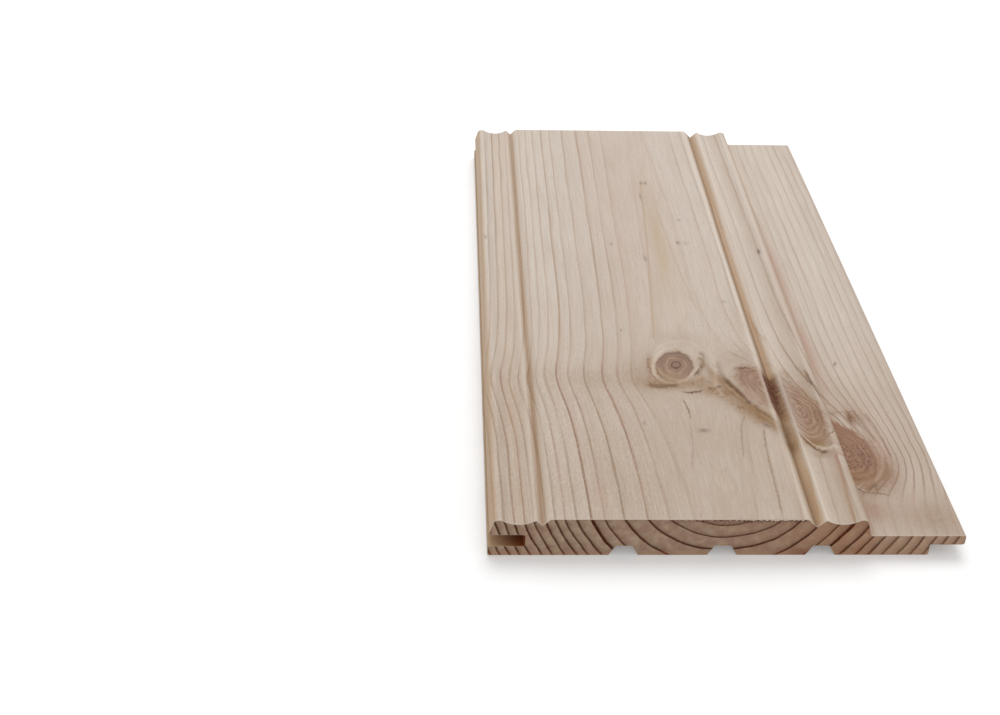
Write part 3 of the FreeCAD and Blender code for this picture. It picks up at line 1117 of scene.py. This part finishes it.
@dataclass(frozen=True)
class SawnEnd:
    """Sawn ends: darker wood, with dark thin late wood lines across it.

    Attributes:
        grey, mauve, warm, late, red, torn, light: Its colours.
        warm_tone: How warm and red the wood is, by place across.
        tear: How much the top arris is torn, by place across.
        roughness, shine, relief: The sawn skin, with its relief in metres.
    """

    grey: Colour = srgb(190, 166, 140)
    mauve: Colour = srgb(169, 137, 117)
    warm: Colour = srgb(184, 132, 98)
    late: Colour = srgb(72, 32, 9)
    red: Colour = srgb(136, 62, 30)
    torn: Colour = srgb(80, 46, 30)
    light: Colour = srgb(210, 182, 156)
    warm_tone: Points = ((66, 0), (92, 0.35), (103, 0.75), (113, 0.75), (119, 0.45), (145, 0.4))
    tear: Points = (
        (0, 0), (16, 0), (22, 0.25), (52, 0.25), (55, 0.6), (61, 0.6), (63, 0.85), (68, 0.6), (74, 0.8),
        (82, 1), (95, 1), (97.5, 0.5), (101, 0.4), (112, 0.5), (115, 0.1), (145, 0))
    roughness: float = 0.85
    shine: float = 0.08
    relief: float = 0.00012

    def make(self, wood: Wood, low: Vector) -> bpy.types.Material:
        """Builds the material.

        Args:
            wood: The pattern it cuts through.
            low: The board's lowest corner, in metres.

        Returns:
            The material.
        """
        material = bpy.data.materials.new("sawn_end")
        sheet = Sheet.of(material)
        place = WoodPlace.on(sheet, low)
        rings = wood.ring(place, place.up * 0.0)
        grit = place.noise((2.4, 1.0, 2.4), 3.0, 0.65)
        patch = place.noise((0.35, 0.2, 0.35), 3.0)
        ragged = place.noise((1.1, 1.0, 1.1), 3.0, 0.6)
        below = sheet.rise(place.up, 2.6, 0.2)
        mauve = patch * 3.0 + 0.5 + sheet.rise(place.across, 20.0, 90.0) * 0.3
        coat = Coat(place, sheet.mix(mauve, self.grey, self.mauve))
        right = sheet.curve(place.across, self.warm_tone)
        coat.lay(right * 0.6 + below * 0.55, self.warm)
        coat.lay(sheet.rise(place.across, 114.0, 122.0) * 0.28, self.light)
        coat.lay(grit * 0.9, self.late)
        left = (rings.left + ragged * 0.4) / (rings.tone * 1.1 + rings.hue * 1.5 + 0.55)
        line = sheet.rise(left, 1.0, 0.36) * sheet.rise(left, -0.02, 0.10)
        soft = sheet.rise(left, 2.6, 0.3) * 0.20 + rings.part * rings.part * 0.06
        coat.lay(soft + sheet.rise(place.up, 5.0, 12.0) * 0.12, self.late)
        coat.lay(below * 0.36, self.light)
        stain = sheet.bell(place.across, 95.0, 3.6) * sheet.rise(place.up, 4.2, 0.8)
        coat.lay(stain * 0.45, self.red)
        red = below * 0.9 + right * sheet.rise(patch, 0.0, 0.2) * 0.5
        ink = sheet.mix(red, self.late, self.red)
        faint = sheet.rise(place.across, 114.0, 124.0) * -0.22
        coat.lay(line * (rings.tone * 0.4 + faint + grit * 0.9 + 0.69), ink)
        self.torn_edge(coat)
        sheet.finish(coat.colour, self.roughness, self.shine, grit + ragged * 0.5, self.relief)
        return material

    def torn_edge(self, coat: Coat) -> None:
        """Adds dark torn fibres, partly painted shade in the torn hollows, and pale splinters under the top
        arris.

        Args:
            coat: The coat that they are laid on.
        """
        place, sheet = coat.place, coat.place.sheet
        rough = place.noise((2.3, 1.0, 1.3), 3.0, 0.7)
        amount = sheet.curve(place.across, self.tear)
        level = sheet.rise(place.up, 11.6, 13.7)
        # Dark torn fibres and a dark rim under the arris: partly the fibres' own colour, partly painted
        # shade in the torn hollows.
        torn = sheet.rise(rough + level * amount * 0.16, 0.10, 0.14) * level * sheet.rise(amount, 0.0, 0.4)
        rim = sheet.rise(place.up + rough * 0.5, 13.6, 13.85) * sheet.rise(place.across, 24.0, 30.0)
        torn = sheet.largest(torn, rim * sheet.rise(place.across, 97.5, 96.0) * 0.6)
        coat.lay(torn * 0.85, self.torn)
        splinter = sheet.rise(rough - level * amount * 0.1, -0.16, -0.22) * level * amount
        coat.lay(splinter * 0.6, self.light)


@dataclass
class BoardSection:
    """The moulded section, in millimetres from the lower lip's edge and the back."""

    width: float
    thickness: float
    tongue_length: float = 10.5
    tongue_thickness: float = 3.6
    tongue_underside: float = 4.0
    joint_play: float = 0.3
    tip_clearance: float = 1.7
    back_joint_gap: float = 1.0
    shadow_gap: float = 19.5
    bevel_angle: float = 18.0
    bead_drop: float = 0.35
    ridge_width: float = 2.2
    cove_width: float = 10.3
    cove_depth: float = 1.6
    groove_side_v: float = 2.3
    tongue_side_v: float = 3.0
    relief_centres: tuple[float, ...] = (101.2, 71.2, 41.2)
    relief_width: float = 9.0
    relief_depth: float = 3.6
    relief_angle: float = 60.0
    back_radius: float = 0.5
    groove_radius: float = 0.7
    tip_radius: float = 0.8
    nose_radius: float = 1.0
    shoulder_radius: float = 1.5
    arc_points: int = 14
    cove_points: int = 48
    sampling: float = 0.03
    softening: float = 0.12
    points: list[np.ndarray] = field(default_factory=list)

    def line(self, *corners: tuple[float, float]) -> None:
        """Adds corners that straight lines join, each a place across and up."""
        self.points.append(np.array(corners, dtype=float))

    def bends(self, *corners: tuple[float, ...]) -> None:
        """Adds the inner corners of a path, each rounded by an arc that touches both its sides.

        An arc's centre lies on the bisector, radius over the sine of half the corner's angle away.

        Args:
            corners: The path's corners, each a place across, up and, but for the first and last, its radius.
        """
        for before, corner, after in zip(corners, corners[1:], corners[2:]):
            here, back, on = (np.array(p[:2], dtype=float) for p in (corner, before, after))
            radius = corner[2]
            to_back = (back - here) / np.linalg.norm(back - here)
            to_on = (on - here) / np.linalg.norm(on - here)
            half = math.acos(float(np.clip(to_back @ to_on, -1, 1))) / 2
            reach = radius / math.tan(half)
            bisector = (to_back + to_on) / np.linalg.norm(to_back + to_on)
            centre = here + bisector * radius / math.sin(half)
            start, end = here + to_back * reach - centre, here + to_on * reach - centre
            first = math.atan2(start[1], start[0])
            turn = (math.atan2(end[1], end[0]) - first + math.pi) % (2 * math.pi) - math.pi
            angles = first + turn * np.linspace(0, 1, self.arc_points)
            self.points.append(centre + radius * np.stack([np.cos(angles), np.sin(angles)], axis=1))

    def cove(self, start: float, end: float, level: float) -> None:
        """Adds a hollow arc between two places at one level.

        With half the chord a and the depth d, the radius is (a squared + d squared) / 2 d.

        Args:
            start: Where the hollow starts.
            end: Where it ends.
            level: The height of both its ends.
        """
        half = (end - start) / 2
        radius = (half ** 2 + self.cove_depth ** 2) / (2 * self.cove_depth)
        swing = math.asin(half / radius)
        angles = np.linspace(-swing, swing, self.cove_points)
        across = (start + end) / 2 + radius * np.sin(angles)
        up = level - self.cove_depth + radius - radius * np.cos(angles)
        self.points.append(np.stack([across, up], axis=1))

    def corners(self) -> np.ndarray:
        """Draws the whole outline, clockwise from the lower lip as seen from the front end.

        Returns:
            The outline's points, one row each, across and up.
        """
        self.points = []
        top = self.tongue_underside + self.tongue_thickness
        floor, ceiling = self.tongue_underside - self.joint_play, top + self.joint_play
        bead = self.thickness - self.bead_drop
        lean = math.tan(math.radians(self.bevel_angle))
        shoulder = self.width - self.tongue_length
        depth = self.tongue_length - self.back_joint_gap + self.tip_clearance
        foot = shoulder + self.back_joint_gap - self.shadow_gap

        ridge = (bead - ceiling) * lean
        hollow = ridge + self.ridge_width
        hollow_end = hollow + self.cove_width
        self.bends((5, 0), (0, 0, self.back_radius), (0, floor, self.back_radius),
                   (depth, floor, self.groove_radius), (depth, ceiling, self.groove_radius),
                   (0.0, ceiling, self.nose_radius), (ridge, bead, self.shoulder_radius), (hollow, bead))
        self.cove(hollow, hollow_end, bead)
        bottom = hollow_end + self.groove_side_v - self.bead_drop
        self.line((bottom, self.thickness - self.groove_side_v),
                  (bottom + self.groove_side_v, self.thickness))

        far_ridge = foot - (bead - top) * lean
        far_end = far_ridge - self.ridge_width
        far_start = far_end - self.cove_width
        bottom = far_start - self.tongue_side_v + self.bead_drop
        self.line((bottom - self.tongue_side_v, self.thickness),
                  (bottom, self.thickness - self.tongue_side_v))
        self.cove(far_start, far_end, bead)
        self.bends((far_end, bead), (far_ridge, bead, self.shoulder_radius), (foot, top))
        self.line((foot, top))
        below = (shoulder, self.tongue_underside)
        self.bends((foot, top), (self.width, top, self.tip_radius),
                   (self.width, self.tongue_underside, self.tip_radius), below)
        self.line(below)
        self.bends(below, (shoulder, 0, self.back_radius), (0, 0))
        run = self.relief_depth / math.tan(math.radians(self.relief_angle))
        half = self.relief_width / 2
        for centre in self.relief_centres:
            self.line((centre + half, 0), (centre + half - run, self.relief_depth),
                      (centre - half + run, self.relief_depth), (centre - half, 0))
        return np.concatenate(self.points)

    def outline(self, step: float, turn: float, fine_from: float, fine_to: float,
                fine_step: float) -> np.ndarray:
        """Spaces points round the outline, closer where it bends.

        The corners are joined into one closed line, which is softened by a running bell-shaped mean as a
        plane's knife and handling soften an arris. Each stretch is then weighed by its length over the
        step plus its bend over the turn, and points are set at whole weights.

        Args:
            step: The widest spacing, in millimetres.
            turn: The sharpest bend from point to point, in degrees.
            fine_from: Where a finer stretch of the top face starts, across.
            fine_to: Where it ends.
            fine_step: The spacing there.

        Returns:
            The points, one row each, across and up.
        """
        corners = self.corners()
        closed = np.vstack([corners, corners[:1]])
        run = np.concatenate([[0], np.cumsum(np.linalg.norm(np.diff(closed, axis=0), axis=1))])
        count = int(run[-1] / self.sampling)
        even = np.linspace(0, run[-1], count, endpoint=False)
        dense = np.stack([np.interp(even, run, closed[:, axis]) for axis in (0, 1)], axis=1)
        spacing = run[-1] / count
        lags = np.fft.fftfreq(count, d=spacing)
        bell = np.exp(-2 * (math.pi * self.softening * lags) ** 2)[:, None]
        dense = np.real(np.fft.ifft(np.fft.fft(dense, axis=0) * bell, axis=0))
        ahead = np.roll(dense, -1, axis=0) - dense
        heading = np.unwrap(np.arctan2(ahead[:, 1], ahead[:, 0]))
        bend = np.abs(np.diff(heading, prepend=heading[0]))
        on_top = (dense[:, 1] > self.thickness - 0.5) & (dense[:, 0] > fine_from) & (dense[:, 0] < fine_to)
        weight = spacing / np.where(on_top, fine_step, step) + bend / math.radians(turn)
        total = np.cumsum(weight)
        picks = np.arange(int(total[-1])) * total[-1] / int(total[-1])
        return np.stack([np.interp(picks, total, dense[:, axis]) for axis in (0, 1)], axis=1)


@dataclass
class Board:
    """The board: its section carried along the grain between two sawn ends.

    Attributes:
        low, high: Opposite corners of its box, in metres.
        arris: Radius of the ends' arrises, in millimetres.
        stations: How many outlines lie between the end stretches.
        end_steps: Distances of the outlines near an end.
        crease: The angle from which an edge is drawn sharp, in degrees.
        torn: How deep the saw may tear the front end's top arris, by place across.
        sound: The share of that arris which stays whole.
        torn_above: Height from which it tears.
        wood: The pattern in the wood.
    """

    low: Vector
    high: Vector
    arris: float = 0.18
    stations: int = 60
    end_steps: tuple[float, ...] = (0.0, 0.02, 0.06, 0.12, 0.2, 0.32, 0.5, 0.75, 1.1)
    crease: float = 28.0
    torn: Points = ((0, 0), (50, 0), (54, 0.2), (61, 0.2), (63, 0.4), (68, 0.3), (72, 0.4),
                    (80, 0.8), (95, 0.9), (96, 0.1), (145, 0))
    sound: float = 0.35
    torn_above: float = 13.2
    wood: Wood = Wood()

    def mesh(self) -> bpy.types.Mesh:
        """Carries the outline along the board.

        Station k is the outline moved in by i(k) along its inward normal, where i is arris - sqrt(arris
        squared - (arris - d) squared) for a distance d from the nearer end below the arris, and 0 beyond.

        Returns:
            The closed mesh, with the long faces in slot 0 and the ends in slot 1.
        """
        size = (self.high - self.low) / MM
        section = BoardSection(width=size.x, thickness=size.z)
        ring = section.outline(step=1.0, turn=7.0, fine_from=50.0, fine_to=97.0, fine_step=0.4)
        ahead = np.roll(ring, -1, axis=0) - np.roll(ring, 1, axis=0)
        inward = np.stack([ahead[:, 1], -ahead[:, 0]], axis=1)
        inward /= np.linalg.norm(inward, axis=1)[:, None]
        near = np.array(self.end_steps)
        middle = np.linspace(near[-1], size.y - near[-1], self.stations)[1:-1]
        along = np.concatenate([near, middle, size.y - near[::-1]])
        front = along[:, None] < size.y / 2
        depth = np.minimum(along, size.y - along)[:, None]
        radius = np.where(front, self.worn_arris(ring)[None], self.arris)
        inset = radius - np.sqrt(radius ** 2 - np.clip(radius - depth, 0, None) ** 2)
        flat = ring[None] + inward[None] * inset[:, :, None]
        level = np.broadcast_to(along[:, None], flat.shape[:2])
        points = np.stack([flat[..., 0], level, flat[..., 1]], axis=-1)
        vertices = points.reshape(-1, 3) * MM + np.array(self.low)
        rows, count = len(along), len(ring)
        k, i = np.meshgrid(np.arange(rows - 1), np.arange(count), indexing="ij")
        j = (i + 1) % count
        sides = np.stack([k * count + i, (k + 1) * count + i, (k + 1) * count + j, k * count + j], axis=-1)
        faces = sides.reshape(-1, 4).tolist()
        faces.append(list(range(count)))
        faces.append(list(range(rows * count - 1, (rows - 1) * count - 1, -1)))
        mesh = bpy.data.meshes.new("board")
        mesh.from_pydata(vertices, [], faces)
        slots = np.zeros(len(faces), dtype=np.int32)
        slots[-2:] = 1
        mesh.polygons.foreach_set("material_index", slots)
        mesh.polygons.foreach_set("use_smooth", slots == 0)
        mesh.set_sharp_from_angle(angle=math.radians(self.crease))
        mesh.update()
        return mesh

    def worn_arris(self, ring: np.ndarray) -> np.ndarray:
        """Gives each point of the outline the arris radius at the front end, larger where fibres tore out.

        Args:
            ring: The outline's points.

        Returns:
            The radii, in millimetres.
        """
        chance = np.random.default_rng(7)
        worn = np.interp(ring[:, 0], *np.array(self.torn).T)
        chips = np.clip(chance.random(len(ring)) - self.sound, 0, None) * worn
        return self.arris + np.where(ring[:, 1] > self.torn_above, chips, 0.0)

    def build(self) -> bpy.types.Object:
        """Builds and dresses the board.

        Returns:
            The board's object.
        """
        board = bpy.data.objects.new("board", self.mesh())
        bpy.context.scene.collection.objects.link(board)
        for finish in (PlanedFace(), SawnEnd()):
            board.data.materials.append(finish.make(self.wood, self.low))
        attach(board, BODY)
        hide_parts(NODE)
        return board


@dataclass
class Studio:
    """A pale floor, soft light and the camera.

    Attributes:
        camera_place: The camera from the board's lowest corner, in millimetres.
        pitch, turn, roll: Where it looks, in degrees.
        focal, image_width: Its focal length and the picture's width, in pixels.
        sensor: Width of its sensor, in millimetres.
        floor_reach: Half the floor's width, in metres.
        floor_tone, floor_glow: How pale the floor is, and the light it adds for the camera.
        lamp_place, lamp_size, lamp_power: The lamp, in metres and watts.
        room_light: Strength of the room's even light.
    """

    camera_place: tuple[float, float, float] = (-12.777, -328.995, 289.256)
    pitch: float = 33.472
    turn: float = 2.602
    roll: float = -1.674
    focal: float = 1440.8
    image_width: float = 1000.0
    sensor: float = 36.0
    floor_reach: float = 6.0
    floor_tone: float = 0.9
    floor_glow: float = 0.2
    lamp_place: tuple[float, float, float] = (0.10, 0.80, 1.55)
    lamp_size: float = 1.4
    lamp_power: float = 15.0
    room_light: float = 0.62

    def camera(self, low: Vector) -> bpy.types.Object:
        """Places the camera.

        The view runs turn degrees right of the board's length and pitch degrees down, and the picture is
        rolled about it.

        Args:
            low: The board's lowest corner, in metres.

        Returns:
            The camera.
        """
        pitch, turn, roll = (math.radians(a) for a in (self.pitch, self.turn, self.roll))
        view = Vector((math.sin(turn) * math.cos(pitch), math.cos(turn) * math.cos(pitch), -math.sin(pitch)))
        level = Vector((math.cos(turn), -math.sin(turn), 0.0))
        down = view.cross(level)
        right = math.cos(roll) * level + math.sin(roll) * down
        up = math.sin(roll) * level - math.cos(roll) * down
        lens = bpy.data.cameras.new("camera")
        lens.sensor_width = self.sensor
        lens.lens = self.focal / self.image_width * self.sensor
        lens.clip_start = 0.01
        camera = bpy.data.objects.new("camera", lens)
        turned = Matrix((right, up, -view)).transposed().to_4x4()
        turned.translation = low + Vector(self.camera_place) * MM
        camera.matrix_world = turned
        bpy.context.scene.collection.objects.link(camera)
        bpy.context.scene.camera = camera
        return camera

    def floor(self) -> bpy.types.Object:
        """Lays the floor.

        Returns:
            The floor.
        """
        mesh = bpy.data.meshes.new("floor")
        corners = np.array([(-1, -1, 0), (1, -1, 0), (1, 1, 0), (-1, 1, 0)]) * self.floor_reach
        mesh.from_pydata(corners, [], [(0, 1, 2, 3)])
        floor = bpy.data.objects.new("floor", mesh)
        bpy.context.scene.collection.objects.link(floor)
        material = bpy.data.materials.new("pale_floor")
        sheet = Sheet.of(material)
        pale, white = (*[self.floor_tone] * 3, 1.0), (1.0, 1.0, 1.0, 1.0)
        plain = sheet.add("ShaderNodeBsdfDiffuse", inputs={"Color": pale})
        glow = sheet.add("ShaderNodeEmission", inputs={"Color": white, "Strength": self.floor_glow})
        seen = sheet.add("ShaderNodeAddShader", inputs={0: plain.outputs[0], 1: glow.outputs[0]})
        ray = sheet.add("ShaderNodeLightPath").outputs["Is Camera Ray"]
        surface = sheet.add("ShaderNodeMixShader", inputs={0: ray, 1: plain.outputs[0], 2: seen.outputs[0]})
        sheet.add("ShaderNodeOutputMaterial", inputs={"Surface": surface.outputs[0]})
        mesh.materials.append(material)
        return floor

    def light(self) -> None:
        """Hangs one large soft lamp and sets the even light of the room."""
        lamp = bpy.data.lights.new("key", "AREA")
        lamp.shape = "DISK"
        lamp.size = self.lamp_size
        lamp.energy = self.lamp_power
        key = bpy.data.objects.new("key", lamp)
        place = Vector(self.lamp_place)
        key.location = place
        key.rotation_euler = (-place).to_track_quat("-Z", "Y").to_euler()
        bpy.context.scene.collection.objects.link(key)
        world = bpy.data.worlds.new("room")
        world.use_nodes = True
        background = world.node_tree.nodes["Background"]
        background.inputs["Color"].default_value = (1.0, 1.0, 1.0, 1.0)
        background.inputs["Strength"].default_value = self.room_light
        bpy.context.scene.world = world


def main() -> None:
    """Builds the board and the studio, and writes the sizes."""
    logging.basicConfig(level=logging.INFO, format="%(message)s")
    bpy.context.scene.view_settings.view_transform = "Standard"
    low, high = (Vector(corner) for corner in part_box(NODE))
    board = Board(low, high).build()
    LOG.info("%s: %d vertices, %d faces", board.name, len(board.data.vertices), len(board.data.polygons))
    studio = Studio()
    for piece in (studio.floor(), studio.camera(low)):
        LOG.info("%s placed", piece.name)
    studio.light()


if __name__ == "__main__":
    main()
